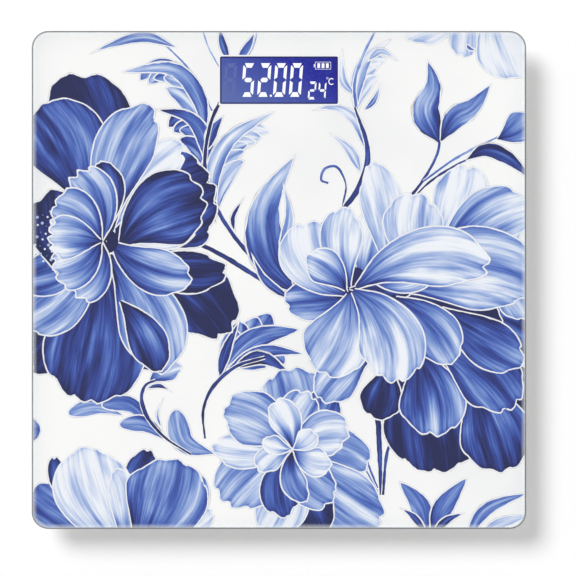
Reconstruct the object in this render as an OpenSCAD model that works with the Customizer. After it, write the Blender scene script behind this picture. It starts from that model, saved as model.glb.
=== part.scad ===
// Digital bathroom scale: a printed glass platform on a shallow plastic tray, four floating feet
// that each press on a load cell under the glass, a backlit display and a two-cell battery bay.
// The origin is on the floor under the middle of the platform. +Y points to the display.

/* [Platform] */
// Width of the glass platform, left to right
platform_w = 280; // [276:1:320]
// Depth of the glass platform, front to back
platform_d = 282; // [280:1:320]
// Height from the floor to the top of the glass
overall_h = 25; // [25:0.5:30]
// Thickness of the glass
glass_t = 5; // [4:0.5:5]
// Radius of the glass corners in plan
glass_corner_r = 9.5; // [6:0.5:16]
// Radius of the polished edge of the glass
glass_edge_r = 0.5; // [0.4:0.1:1.9]

/* [Display] */
// Width of the clear window in the printed film
window_w = 67; // [50:1:67]
// Depth of the clear window in the printed film
window_d = 27; // [20:1:27]
// Distance from the middle of the platform to the middle of the window
window_y = 113.4; // [112:0.1:113.6]

/* [Tray] */
// Gap between the floor and the underside of the tray
tray_lift = 5; // [4.5:0.1:5]
// Thickness of the tray's floor and walls
tray_wall = 2; // [1.6:0.1:2]
// How far the tray's rim sits in from the edge of the glass
rim_inset = 4; // [3:0.5:8]
// How far the rim stands out from the tray's wall
rim_reach = 4; // [2:0.5:6]

/* [Feet] */
// Distance from the middle of the platform to each foot, left to right
foot_x = 105; // [100:1:105]
// Distance from the middle of the platform to each foot, front to back
foot_y = 105; // [100:1:105]
// Diameter of a foot where it passes through the tray
foot_d = 42; // [36:1:42]
// How far a foot drops when the scale is lifted
foot_drop = 0.5; // [0.3:0.1:0.8]

/* [Load cells] */
// Side of the square load cell
cell_side = 34; // [30:1:36]
// Thickness of the load cell's steel
cell_t = 2.5; // [2:0.1:3]

/* [Batteries] */
// Distance from the middle of the platform to the middle of the battery bay
bay_y = 50; // [40:1:52]
// Diameter of a battery
battery_d = 10.5; // [10:0.1:10.5]
// Length of a battery
battery_l = 44.5; // [44:0.1:45]

/* [Hidden] */
$fn = 64;
eps = 0.01;

// Heights of the stack under the glass
glass_z = overall_h - glass_t;
ink_gap = 0.2;
film_t = 0.2;
film_z = glass_z - ink_gap - film_t;
window_r = 1;
tape_t = 0.5;
rim_z = film_z - tape_t;
rim_t = 2;
floor_z = tray_lift;
floor_top = floor_z + tray_wall;

// Plan of the tray: wall and rim share their corner centres
tray_corner_r = 12;
wall_w = platform_w - 2 * (rim_inset + rim_reach);
wall_d = platform_d - 2 * (rim_inset + rim_reach);
tray_fillet = 4;
rib_h = 3;
rib_t = 1.6;
tape_w = 5;

// Feet
pad_d = foot_d - 4;
pad_t = 1.8;
pad_recess = 0.9;
cap_bottom = pad_t - pad_recess;
cap_floor = 2.2;
cap_wall = 2;
flange_d = foot_d + 4;
flange_t = 1.2;
flange_z = floor_top + foot_drop + 0.05;
foot_hole_d = foot_d + 1;
guide_id = flange_d + 1;
guide_od = guide_id + 3;
guide_top = floor_top + 2.5;
boss_d = 8;

// Load cells and their brackets, hung from the glass
cell_z = 11;
cell_top = cell_z + cell_t;
cell_bar = 4;
cell_open = cell_side - 2 * cell_bar;
tongue_w = 11;
head_w = 20;
head_d = 10;
gauge_y = 8.5;
bracket_side = cell_side + 6;
bracket_fit = 0.1;
bracket_plate = 1.6;
lug_l = 8;
lug_reach = 1;
gauge_t = 0.4;

// Display and board
board_w = 92;
board_d = 44;
board_t = 1.6;
board_y = window_y - 6.4;
board_z = 12;
board_top = board_z + board_t;
gasket_t = 0.5;
lcd_w = window_w + 5;
lcd_d = window_d + 5;
lcd_top = film_z - gasket_t;
lcd_pane = 1.3;
lcd_ledge = 3.2;
lcd_bottom = lcd_top - 2 * lcd_pane;
light_t = 2.2;
light_z = lcd_bottom - light_t;
holder_gap = 0.2;
holder_wall = 1;
holder_w = lcd_w + 2 * (holder_gap + holder_wall);
holder_d = lcd_d + 2 * (holder_gap + holder_wall);
connector_l = 60;
connector_w = 2;
screw_x = board_w / 2 - 4;
screw_ys = [board_y - board_d / 2 + 4, board_y + board_d / 2 - 4];
screw_d = 2.5;
screw_l = 4.6;
screw_head_d = 5;
screw_head_t = 1.7;
boss_od = 7;

// Unit button and its switch
button_x = 34;
button_y = board_y - 7;
button_d = 9;
button_flange_d = 12;
button_flange_t = 0.9;
button_play = 0.3;
switch_side = 6;
switch_h = 3.5;
switch_z = board_z - switch_h;
plunger_d = 3.2;
plunger_play = 0.15;
plunger_depth = 1.5;

// Battery bay, open downwards and closed by the door
bay_l = battery_l + 5.5;
bay_w = 25;
bay_ledge = 1.5;
bay_skin = 1;
bay_roof = 1.2;
bay_open_l = bay_l + 2 * bay_ledge;
bay_open_w = bay_w + 2 * bay_ledge;
bay_out_l = bay_open_l + 2 * bay_skin;
bay_out_w = bay_open_w + 2 * bay_skin;
battery_pitch = 11.5;
battery_z = floor_top + 0.25 + battery_d / 2;
nub_d = 3.8;
nub_l = 1;
contact_t = 0.4;
contact_side = 7;
contact_tab_w = 2.4;
contact_tab_out = 2.5;
contact_tab_z = 14.6;
spring_wire = 0.7;
spring_turns = 3.5;

// Door: two hooks turn on the tray's rounded lip at -X, a snap latch closes +X
door_gap = 0.3;
door_t = 1.85;
door_w = bay_open_w - 2 * door_gap;
lip_r = 0.9;
lip_x = -bay_open_l / 2;
lip_z = floor_z + lip_r;
door_left = lip_x + lip_r + 0.4;
door_right = bay_open_l / 2 - door_gap;
door_l = door_right - door_left;
hook_w = 5;
hook_r = lip_r + 0.3;
hook_t = 1;
hook_y = 7;
hook_angle = 100;
latch_w = 10;
latch_t = 0.9;
latch_h = 3;

// Wires: hand-laid routes, in millimetres, mirrored from one side to the other
wire_d = 1.2;
wire_sides = 8;
wire_pitch = 1.6;
front_route = [
    [103, -113.5, 14.7],
    [86, -113.5, 14.7],
    [79, -112, 11.5],
    [72, -103, 11],
    [72, 78, 11],
    [66, 96, 12.5],
    [52, 100, 14.6],
    [43, 100, 14.4],
];
rear_route = [
    [103, 113.5, 14.7],
    [86, 113.5, 14.7],
    [64, 113.5, 13.4],
    [43, 113.5, 14.4],
];
plus_route = [
    [-28.4, 44.25, 15.61],
    [-31.2, 44.25, 15.61],
    [-34, 48, 14.2],
    [-34, 66, 13],
    [-26, 82, 14.6],
    [-26, 88, 14.4],
];
minus_route = [
    [-28.4, 55.75, 15.61],
    [-31.2, 56, 15.61],
    [-31.4, 62, 14.4],
    [-22, 82, 14.6],
    [-22, 88, 14.4],
];

FRONT_LEFT = [-1, -1];
FRONT_RIGHT = [1, -1];
REAR_LEFT = [-1, 1];
REAR_RIGHT = [1, 1];
CORNERS = [FRONT_LEFT, FRONT_RIGHT, REAR_LEFT, REAR_RIGHT];

// ---- shared shapes ----

// Sweeps a profile round a rounded rectangle. The profile's x is measured outwards from the
// centres of the corner arcs, and its y is the height.
module edge_ring(w, d, r) {
    run_x = w - 2 * r;
    run_y = d - 2 * r;
    for (turn = [0:3]) {
        along = turn % 2 == 0 ? run_y : run_x;
        out = turn % 2 == 0 ? run_x / 2 : run_y / 2;
        rotate(90 * turn) {
            translate([out, 0, 0]) rotate([90, 0, 0]) linear_extrude(along, center = true) children();
            translate([out, along / 2, 0]) rotate_extrude(angle = 90) children();
        }
    }
}

// A rounded rectangle in plan, made of squares and circles
module round_rect(w, d, r) {
    square([w, d - 2 * r], center = true);
    square([w - 2 * r, d], center = true);
    for (sx = [-1, 1], sy = [-1, 1])
        translate([sx * (w / 2 - r), sy * (d / 2 - r)]) circle(r);
}

module block(w, d, h) {
    translate([-w / 2, -d / 2, 0]) cube([w, d, h]);
}

// Places a corner's parts. Those of the front corners are turned round to face the display.
module at_corner(corner) {
    translate([corner[0] * foot_x, corner[1] * foot_y, 0])
        rotate(corner[1] > 0 ? 0 : 180) children();
}

function unit(v) = v / norm(v);
function heading(path, i) = unit(path[min(i + 1, len(path) - 1)] - path[max(i - 1, 0)]);

// A round wire swept along a path; up is any direction that the path never follows
module wire(path, d, up, sides) {
    n = len(path);
    skin = [for (i = [0:n - 1])
        let (ahead = heading(path, i), a = unit(cross(up, ahead)), b = cross(ahead, a))
        for (k = [0:sides - 1])
            path[i] + d / 2 * (cos(360 * k / sides) * a + sin(360 * k / sides) * b)];
    walls = [for (i = [0:n - 2], k = [0:sides - 1])
        let (m = (k + 1) % sides)
        [i * sides + m, i * sides + k, (i + 1) * sides + k, (i + 1) * sides + m]];
    caps = [[for (k = [0:sides - 1]) k], [for (k = [sides - 1:-1:0]) (n - 1) * sides + k]];
    polyhedron(points = skin, faces = concat(walls, caps), convexity = 6);
}

// ---- platform ----

module glass_profile() {
    square([glass_corner_r - glass_edge_r, glass_t]);
    translate([0, glass_edge_r]) square([glass_corner_r, glass_t - 2 * glass_edge_r]);
    for (z = [glass_edge_r, glass_t - glass_edge_r])
        translate([glass_corner_r - glass_edge_r, z]) circle(glass_edge_r);
}

module glass_platform() {
    color("lightcyan", 0.5) translate([0, 0, glass_z]) {
        edge_ring(platform_w, platform_d, glass_corner_r)
            intersection() {
                glass_profile();
                square([glass_corner_r, glass_t]);
            }
        block(platform_w - 2 * glass_corner_r, platform_d - 2 * glass_corner_r, glass_t);
    }
}

module printed_film() {
    color("lightsteelblue") translate([0, 0, film_z]) linear_extrude(film_t) difference() {
        round_rect(platform_w - 2 * glass_edge_r, platform_d - 2 * glass_edge_r,
            glass_corner_r - glass_edge_r);
        translate([0, window_y]) round_rect(window_w, window_d, window_r);
    }
}

module perimeter_tape() {
    tape_out = tray_corner_r + rim_reach - 0.5;
    color("gray") edge_ring(wall_w, wall_d, tray_corner_r)
        translate([tape_out - tape_w, rim_z]) square([tape_w, tape_t]);
}

// ---- tray ----

module tray_profile() {
    bend = tray_corner_r - tray_fillet;
    translate([0, floor_z]) square([bend, tray_wall]);
    intersection() {
        translate([bend, floor_z + tray_fillet]) difference() {
            circle(tray_fillet);
            circle(tray_fillet - tray_wall);
        }
        translate([bend, floor_z]) square([tray_fillet, tray_fillet]);
    }
    translate([tray_corner_r - tray_wall, floor_z + tray_fillet])
        square([tray_wall, rim_z - floor_z - tray_fillet]);
    translate([tray_corner_r - tray_wall, rim_z - rim_t]) square([tray_wall + rim_reach, rim_t]);
}

module tray_rib(from, to) {
    run = to - from;
    translate([from[0], from[1], floor_top - eps]) rotate(atan2(run[1], run[0]))
        translate([0, -rib_t / 2, 0]) cube([norm(run), rib_t, rib_h + eps]);
}

module tray_ribs() {
    side = wall_w / 2 - tray_wall;
    front = wall_d / 2 - tray_wall;
    for (sx = [-1, 1]) {
        tray_rib([sx * 60, -front], [sx * 60, front]);
        tray_rib([sx * 20, -front], [sx * 20, 30]);
        tray_rib([sx * foot_x, guide_od / 2 - foot_y], [sx * foot_x, foot_y - guide_od / 2]);
    }
    for (y = [-60, -20, 20, 75]) tray_rib([-side, y], [side, y]);
    tray_rib([guide_od / 2 - foot_x, -foot_y], [foot_x - guide_od / 2, -foot_y]);
}

module base_tray() {
    color("white") {
        tray_shell();
        hinge_lip();
    }
}

// The rounded edge that the door's hooks turn on
module hinge_lip() {
    translate([lip_x, bay_y, lip_z]) rotate([90, 0, 0])
        linear_extrude(bay_open_w, center = true) {
            circle(lip_r);
            translate([-lip_r, -lip_r]) square([lip_r, 2 * lip_r]);
        }
}

module tray_shell() {
    difference() {
        union() {
            edge_ring(wall_w, wall_d, tray_corner_r) tray_profile();
            translate([0, 0, floor_z])
                block(wall_w - 2 * tray_corner_r, wall_d - 2 * tray_corner_r, tray_wall);
            tray_ribs();
            for (corner = CORNERS) at_corner(corner) translate([0, 0, floor_top - eps])
                cylinder(d = guide_od, h = guide_top - floor_top + eps);
            translate([0, bay_y, floor_top - eps])
                block(bay_out_l, bay_out_w, rim_z - floor_top + eps);
            for (sx = [-1, 1], y = screw_ys) translate([sx * screw_x, y, floor_top - eps])
                cylinder(d = boss_od, h = board_z - floor_top + eps);
        }
        for (corner = CORNERS) at_corner(corner) {
            translate([0, 0, floor_z - 1]) cylinder(d = foot_hole_d, h = tray_wall + 2);
            translate([0, 0, floor_top]) cylinder(d = guide_id, h = guide_top);
        }
        translate([0, bay_y, floor_z - 1]) block(bay_open_l, bay_open_w, tray_wall + 1);
        translate([0, bay_y, floor_top - 1]) block(bay_l, bay_w, rim_z - bay_roof - floor_top + 1);
        door_slots();
        for (sy = [-1, 1])
            translate([-bay_out_l / 2, bay_y + sy * battery_pitch / 2, contact_tab_z])
                block(2 * (bay_ledge + bay_skin) + 1, contact_tab_w, contact_t);
        translate([button_x, button_y, floor_z - 1])
            cylinder(d = button_d + 2 * button_play, h = tray_wall + 2);
        for (sx = [-1, 1], y = screw_ys) translate([sx * screw_x, y, board_top - screw_l])
            cylinder(d = screw_d, h = screw_l);
    }
}

// Room for the door's two hooks and for its latch in the ends of the battery bay
module door_slots() {
    slot_h = 2;
    for (sy = [-1, 1])
        translate([-bay_out_l / 2, bay_y + sy * hook_y, floor_top])
            block(2 * (bay_ledge + bay_skin) + 1, hook_w + 2 * door_gap, slot_h);
    translate([bay_l / 2, bay_y, floor_top - 1])
        block(2 * bay_ledge, latch_w + 2 * door_gap, latch_h + 2);
}

// ---- feet, load cells and brackets ----

module foot_pad() {
    groove_w = 1.2;
    groove_t = 0.5;
    color("dimgray") difference() {
        cylinder(d = pad_d, h = pad_t);
        for (r = [pad_d / 2 - 4, pad_d / 2 - 8, pad_d / 2 - 12])
            translate([0, 0, -eps]) difference() {
                cylinder(r = r, h = groove_t + eps);
                translate([0, 0, -eps]) cylinder(r = r - groove_w, h = groove_t + 3 * eps);
            }
    }
}

module foot_cap() {
    color("white") difference() {
        union() {
            translate([0, 0, cap_bottom]) cylinder(d = foot_d, h = flange_z - cap_bottom);
            translate([0, 0, flange_z]) cylinder(d = flange_d, h = flange_t);
            cylinder_boss();
        }
        translate([0, 0, cap_bottom - 1]) cylinder(d = pad_d, h = pad_recess + 1);
        difference() {
            translate([0, 0, pad_t + cap_floor])
                cylinder(d = foot_d - 2 * cap_wall, h = flange_z + flange_t);
            cylinder_boss();
            for (turn = [0, 60, 120]) rotate(turn) translate([0, 0, pad_t])
                block(foot_d, rib_t, flange_z - pad_t);
        }
    }
}

// Boss that carries the load cell's tongue
module cylinder_boss() {
    translate([0, 0, pad_t]) cylinder(d = boss_d, h = cell_z - pad_t);
}

module load_cell() {
    hole_d = 2;
    color("silver") translate([0, 0, cell_z]) linear_extrude(cell_t) {
        difference() {
            round_rect(cell_side, cell_side, 2.5);
            round_rect(cell_open, cell_open, 1.5);
            for (sx = [-1, 1], sy = [-1, 1])
                translate([sx, sy] * (cell_side - cell_bar) / 2) circle(d = hole_d);
        }
        difference() {
            round_rect(head_w, head_d, 2);
            for (sx = [-1, 1]) translate([sx * (head_w / 2 - 3), 0]) circle(d = 3);
        }
        translate([-tongue_w / 2, 0]) square([tongue_w, cell_open / 2 + cell_bar / 2]);
    }
}

module strain_gauge() {
    color("ivory") translate([0, gauge_y, cell_top]) linear_extrude(gauge_t) round_rect(8, 6, 1.5);
}

module cell_bracket() {
    room = cell_side + 2 * bracket_fit;
    color("dimgray") difference() {
        translate([0, 0, cell_z - lug_reach]) linear_extrude(film_z - cell_z + lug_reach)
            round_rect(bracket_side, bracket_side, 4);
        translate([0, 0, cell_z]) block(room, room, cell_t);
        translate([0, 0, cell_z - 5]) difference() {
            block(room, room, 5 + eps);
            for (sx = [-1, 1]) translate([sx * room / 2, 0, 0]) block(2 * lug_reach, lug_l, 6);
        }
        translate([0, 0, cell_top - eps])
            block(cell_open, cell_open, film_z - bracket_plate - cell_top + eps);
        translate([0, gauge_y, cell_top - eps]) block(bracket_side + 2, 7, 2.6);
    }
}

// ---- display and board ----

module display_gasket() {
    color("black") translate([0, window_y, lcd_top]) linear_extrude(gasket_t) difference() {
        round_rect(holder_w, holder_d, 1.5);
        square([window_w + 1, window_d + 1], center = true);
    }
}

module lcd_panel() {
    color("midnightblue") {
        translate([0, window_y, lcd_top - lcd_pane]) block(lcd_w, lcd_d, lcd_pane);
        translate([0, window_y + lcd_ledge / 2, lcd_bottom])
            block(lcd_w, lcd_d - lcd_ledge, lcd_pane);
    }
}

module backlight() {
    color("royalblue") {
        translate([0, window_y + lcd_ledge / 2, light_z]) block(lcd_w, lcd_d - lcd_ledge, light_t);
        for (sx = [-1, 1]) translate([sx * lcd_w / 4, window_y, board_top])
            block(3, 2, light_z - board_top);
    }
}

module display_connector() {
    ledge_mid = window_y - lcd_d / 2 + lcd_ledge / 2;
    color("pink") translate([0, ledge_mid, board_top])
        block(connector_l, connector_w, lcd_top - lcd_pane - board_top);
}

module display_holder() {
    lip = 2;
    color("whitesmoke") translate([0, window_y, board_top]) difference() {
        block(holder_w, holder_d, lcd_top - board_top);
        translate([0, 0, light_z - board_top])
            block(lcd_w + 2 * holder_gap, lcd_d + 2 * holder_gap, lcd_top);
        translate([0, lcd_ledge / 2, -1])
            block(lcd_w - 2 * lip, lcd_d - lcd_ledge - 2 * lip, lcd_top);
        translate([0, -(lcd_d - lcd_ledge) / 2, -1])
            block(connector_l + 0.4, connector_w + 0.4, lcd_top);
    }
}

module main_board() {
    color("darkgreen") translate([0, 0, board_z]) linear_extrude(board_t) difference() {
        translate([0, board_y]) round_rect(board_w, board_d, 1.5);
        for (sx = [-1, 1], y = screw_ys) translate([sx * screw_x, y]) circle(d = screw_d + 0.4);
    }
}

module chip_cover() {
    blob_r = 8;
    blob_h = 1.6;
    round_r = 0.8;
    color("black") translate([0, board_y, board_z - blob_h]) rotate_extrude() {
        square([blob_r - round_r, blob_h]);
        translate([0, round_r]) square([blob_r, blob_h - round_r]);
        translate([blob_r - round_r, round_r]) circle(round_r);
    }
}

module board_capacitors() {
    row_y = board_y - board_d / 2 + 5;
    color("tan") {
        for (i = [0:2]) translate([-8 + 4 * i, row_y, board_top]) block(2, 1.25, 1);
        translate([18, row_y, board_top]) cylinder(d = 4, h = 4.2);
    }
}

module crystal() {
    color("silver") translate([10, board_y - board_d / 2 + 5, board_top])
        linear_extrude(2.4) round_rect(7, 3, 1.4);
}

module temperature_sensor() {
    bead_d = 2.4;
    color("saddlebrown") translate([27, board_y - board_d / 2 + 5, board_top]) {
        translate([0, 0, 3]) sphere(d = bead_d);
        for (sx = [-1, 1]) translate([sx * 0.7, 0, 0]) cylinder(d = 0.5, h = 3);
    }
}

module board_screws() {
    slot_w = 0.7;
    color("silver") for (sx = [-1, 1], y = screw_ys)
        translate([sx * screw_x, y, board_top]) difference() {
            union() {
                translate([0, 0, -screw_l]) cylinder(d = screw_d, h = screw_l);
                cylinder(d = screw_head_d, h = screw_head_t);
            }
            for (turn = [0, 90]) rotate(turn)
                translate([0, 0, screw_head_t / 2]) block(3.2, slot_w, screw_head_t);
        }
}

// ---- unit button ----

module switch_body() {
    bore_d = plunger_d + 2 * plunger_play;
    color("black") translate([button_x, button_y, switch_z]) difference() {
        block(switch_side, switch_side, switch_h);
        translate([0, 0, -1]) cylinder(d = bore_d, h = plunger_depth + 1.5);
    }
}

module switch_plunger() {
    top = switch_z + plunger_depth;
    bottom = floor_top + button_flange_t;
    color("goldenrod") translate([button_x, button_y, bottom])
        cylinder(d = plunger_d, h = top - bottom);
}

module unit_button() {
    color("lightgray") translate([button_x, button_y, 0]) difference() {
        union() {
            translate([0, 0, floor_z + 0.2]) cylinder(d = button_d, h = tray_wall);
            translate([0, 0, floor_top]) cylinder(d = button_flange_d, h = button_flange_t);
        }
        translate([0, 0, floor_z - 9.5]) sphere(10);
    }
}

// ---- battery bay ----

// A battery along X with its nub at +X
module battery() {
    bevel = 0.5;
    body_l = battery_l - nub_l;
    translate([-battery_l / 2, 0, 0]) rotate([0, 90, 0]) rotate_extrude() polygon([
        [0, 0],
        [battery_d / 2 - bevel, 0],
        [battery_d / 2, bevel],
        [battery_d / 2, body_l - bevel],
        [battery_d / 2 - bevel, body_l],
        [nub_d / 2, body_l],
        [nub_d / 2, battery_l],
        [0, battery_l],
    ]);
}

// The rear battery's nub meets the bridge at +X, and the front battery's meets its plate at -X
function battery_shift() = bay_l / 2 - contact_t - battery_l / 2;

module battery_rear() {
    color("slategray") translate([battery_shift(), bay_y + battery_pitch / 2, battery_z]) battery();
}

module battery_front() {
    color("slategray") translate([-battery_shift(), bay_y - battery_pitch / 2, battery_z])
        rotate(180) battery();
}

module terminal_plate(sy) {
    translate([-bay_l / 2 + contact_t / 2, bay_y + sy * battery_pitch / 2, battery_z - contact_side / 2])
        block(contact_t, contact_side, contact_side);
    tab_l = contact_tab_out + bay_ledge + bay_skin + contact_t;
    translate([-bay_l / 2 + contact_t - tab_l / 2, bay_y + sy * battery_pitch / 2, contact_tab_z])
        block(tab_l, contact_tab_w, contact_t);
}

module contact_negative() {
    color("silver") terminal_plate(1);
}

module contact_positive() {
    color("silver") terminal_plate(-1);
}

module contact_bridge() {
    color("silver") translate([bay_l / 2 - contact_t / 2, bay_y, battery_z - contact_side / 2])
        block(contact_t, contact_side + battery_pitch, contact_side);
}

// A cone-shaped coil along +X from its contact plate to the flat end of a battery
module contact_spring() {
    length = bay_l - 2 * contact_t - battery_l - spring_wire;
    steps = 12 * spring_turns;
    coil = [for (i = [0:steps])
        let (part = i / steps, r = 3.1 - part, turn = 360 * spring_turns * part)
        [spring_wire / 2 + length * part, r * cos(turn), r * sin(turn)]];
    wire(coil, spring_wire, [1, 0, 0], 6);
}

module contact_springs() {
    plate_x = bay_l / 2 - contact_t;
    color("silver") {
        translate([-plate_x, bay_y + battery_pitch / 2, battery_z]) contact_spring();
        translate([plate_x, bay_y - battery_pitch / 2, battery_z]) rotate(180) contact_spring();
    }
}

module battery_door() {
    grip_w = 14;
    top = floor_z + door_t;
    color("white") translate([0, bay_y, 0]) {
        difference() {
            translate([(door_left + door_right) / 2, 0, floor_z]) linear_extrude(door_t)
                round_rect(door_l, door_w, 0.8);
            for (i = [0:3]) translate([door_right - 5 - 2.4 * i, 0, floor_z - eps])
                block(1.2, grip_w, 0.6);
        }
        for (sy = [-1, 1]) translate([lip_x, sy * hook_y + hook_w / 2, lip_z]) rotate([90, 0, 0])
            rotate_extrude(angle = hook_angle) translate([hook_r, 0]) square([hook_t, hook_w]);
        translate([door_right - latch_t / 2, 0, top - eps]) block(latch_t, latch_w, latch_h);
    }
}

// ---- wires ----

function right_of(v) = unit([v[1], -v[0], 0]);

// Sideways step at point i that keeps a lane parallel to its route, seen from above
function mitre(route, i) =
    let (n = len(route), into = route[max(i, 1)] - route[max(i, 1) - 1],
        out = route[min(i + 1, n - 1)] - route[min(i, n - 2)], both = right_of(into) + right_of(out))
    2 * both / (both * both);

// One lane of the three wires that run from every load cell to the board
module cell_lane(lane) {
    for (sx = [-1, 1], route = [front_route, rear_route]) {
        path = [for (i = [0:len(route) - 1])
            let (p = route[i] + lane * wire_pitch * mitre(route, i)) [sx * p[0], p[1], p[2]]];
        wire(path, wire_d, [0, 0, 1], wire_sides);
    }
}

module cell_wires_red() {
    color("red") cell_lane(-1);
}

module cell_wires_white() {
    color("white") cell_lane(0);
}

module cell_wires_black() {
    color("black") cell_lane(1);
}

module battery_wire_red() {
    color("red") wire(plus_route, wire_d, [0, 0, 1], wire_sides);
}

module battery_wire_black() {
    color("black") wire(minus_route, wire_d, [0, 0, 1], wire_sides);
}

// ---- the nodes ----

glass_platform();
printed_film();
base_tray();
perimeter_tape();
at_corner(FRONT_LEFT) load_cell();  // load_cell_front_left
at_corner(FRONT_RIGHT) load_cell();  // load_cell_front_right
at_corner(REAR_LEFT) load_cell();  // load_cell_rear_left
at_corner(REAR_RIGHT) load_cell();  // load_cell_rear_right
at_corner(FRONT_LEFT) cell_bracket();  // cell_bracket_front_left
at_corner(FRONT_RIGHT) cell_bracket();  // cell_bracket_front_right
at_corner(REAR_LEFT) cell_bracket();  // cell_bracket_rear_left
at_corner(REAR_RIGHT) cell_bracket();  // cell_bracket_rear_right
at_corner(FRONT_LEFT) strain_gauge();  // strain_gauge_front_left
at_corner(FRONT_RIGHT) strain_gauge();  // strain_gauge_front_right
at_corner(REAR_LEFT) strain_gauge();  // strain_gauge_rear_left
at_corner(REAR_RIGHT) strain_gauge();  // strain_gauge_rear_right
at_corner(FRONT_LEFT) foot_cap();  // foot_cap_front_left
at_corner(FRONT_RIGHT) foot_cap();  // foot_cap_front_right
at_corner(REAR_LEFT) foot_cap();  // foot_cap_rear_left
at_corner(REAR_RIGHT) foot_cap();  // foot_cap_rear_right
at_corner(FRONT_LEFT) foot_pad();  // foot_pad_front_left
at_corner(FRONT_RIGHT) foot_pad();  // foot_pad_front_right
at_corner(REAR_LEFT) foot_pad();  // foot_pad_rear_left
at_corner(REAR_RIGHT) foot_pad();  // foot_pad_rear_right
display_gasket();
lcd_panel();
backlight();
display_connector();
display_holder();
main_board();
chip_cover();
board_capacitors();
crystal();
temperature_sensor();
board_screws();
switch_body();
switch_plunger();
unit_button();
battery_rear();
battery_front();
contact_negative();
contact_positive();
contact_bridge();
contact_springs();
battery_door();
cell_wires_red();
cell_wires_white();
cell_wires_black();
battery_wire_red();
battery_wire_black();
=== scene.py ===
"""Digital bathroom scale: a blue-and-white floral print under glass, with a lit display."""

import math

import bmesh
import bpy
import numpy as np
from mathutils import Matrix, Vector


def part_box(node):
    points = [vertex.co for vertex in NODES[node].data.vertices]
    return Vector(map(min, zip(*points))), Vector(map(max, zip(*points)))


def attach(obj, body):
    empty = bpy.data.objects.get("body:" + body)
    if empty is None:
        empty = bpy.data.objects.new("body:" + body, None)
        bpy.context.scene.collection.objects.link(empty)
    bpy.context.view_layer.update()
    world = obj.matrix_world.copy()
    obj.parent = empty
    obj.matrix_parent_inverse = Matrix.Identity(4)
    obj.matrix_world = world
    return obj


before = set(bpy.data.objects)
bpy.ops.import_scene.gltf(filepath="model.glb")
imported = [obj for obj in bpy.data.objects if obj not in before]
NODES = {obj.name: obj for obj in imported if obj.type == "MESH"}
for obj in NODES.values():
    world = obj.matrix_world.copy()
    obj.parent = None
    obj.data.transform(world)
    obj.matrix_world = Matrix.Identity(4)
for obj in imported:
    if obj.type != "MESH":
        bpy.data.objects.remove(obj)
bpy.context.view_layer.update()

MM = 0.001
SEED = 7
ROOT = "scale_body"
CORNERS = ("front_left", "front_right", "rear_left", "rear_right")


# ---------------------------------------------------------------- shader helpers


def srgb(r, g, b):
    """A linear colour from 8-bit sRGB values."""
    parts = [c / 255 for c in (r, g, b)]
    linear = [c / 12.92 if c <= 0.04045 else ((c + 0.055) / 1.055) ** 2.4 for c in parts]
    return (*linear, 1.0)


def scaled(colour, factor, lift=0.0):
    """A darker or lighter version of a linear colour."""
    return [min(1, c * factor + lift) for c in colour[:3]] + [1]


class Shader:
    """A node material under construction. Sockets take values or other nodes' outputs."""

    def __init__(self, name):
        self.mat = bpy.data.materials.new(name)
        self.mat.use_nodes = True
        self.tree = self.mat.node_tree
        self.tree.nodes.clear()
        self.out = self.tree.nodes.new("ShaderNodeOutputMaterial")

    def set(self, socket, value):
        if isinstance(value, bpy.types.NodeSocket):
            self.tree.links.new(value, socket)
        elif value is not None:
            socket.default_value = value

    def node(self, kind, inputs=None, **settings):
        made = self.tree.nodes.new("ShaderNode" + kind)
        for key, value in settings.items():
            setattr(made, key, value)
        for key, value in (inputs or {}).items():
            self.set(made.inputs[key], value)
        return made

    def math(self, operation, a, b=None, c=None):
        made = self.node("Math", operation=operation)
        for i, value in enumerate((a, b, c)):
            if value is not None:
                self.set(made.inputs[i], value)
        return made.outputs[0]

    def flipped(self, share):
        """1 minus a share."""
        return self.math("SUBTRACT", 1.0, share)

    def place(self):
        return self.node("TexCoord").outputs["Object"]

    def attribute(self, name, kind="Fac"):
        return self.node("Attribute", attribute_name=name).outputs[kind]

    def noise(self, vector, scale, detail=3.0, rough=0.5, stretch=None):
        if stretch is not None:
            vector = self.node("Mapping", {"Vector": vector, "Scale": stretch}).outputs[0]
        made = self.node("TexNoise", {
            "Vector": vector, "Scale": scale, "Detail": detail, "Roughness": rough})
        return made.outputs["Fac"]

    def ramp(self, value, stops):
        made = self.node("ValToRGB", {"Fac": value})
        ramp = made.color_ramp
        while len(ramp.elements) < len(stops):
            ramp.elements.new(0.5)
        for element, (at, colour) in zip(ramp.elements, stops):
            element.position = at
            element.color = colour
        return made.outputs["Color"]

    def step(self, value, low, high):
        """0 below low and 1 above high, smooth between."""
        made = self.node("MapRange", {"Value": value, "From Min": low, "From Max": high},
                         interpolation_type="SMOOTHSTEP")
        return made.outputs[0]

    def spread(self, value, low, high):
        """Stretches a value that runs from 0 to 1 over low to high."""
        return self.node("MapRange", {"Value": value, "To Min": low, "To Max": high}).outputs[0]

    def share_of(self, value, low, high):
        """Where a value lies between low and high, from 0 to 1."""
        return self.node("MapRange", {"Value": value, "From Min": low, "From Max": high}).outputs[0]

    def mix(self, share, a, b):
        made = self.node("Mix", data_type="RGBA")
        self.set(made.inputs[0], share)
        self.set(made.inputs[6], a)
        self.set(made.inputs[7], b)
        return made.outputs[2]

    def bump(self, height, depth, strength=1.0, normal=None):
        made = self.node("Bump", {"Height": height, "Distance": depth, "Strength": strength})
        if normal is not None:
            self.set(made.inputs["Normal"], normal)
        return made.outputs[0]

    def principled(self, **inputs):
        made = self.node("BsdfPrincipled")
        for key, value in inputs.items():
            self.set(made.inputs[key.replace("_", " ")], value)
        return made.outputs[0]

    def surface(self, shader):
        self.tree.links.new(shader, self.out.inputs["Surface"])
        return self.mat


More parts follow.
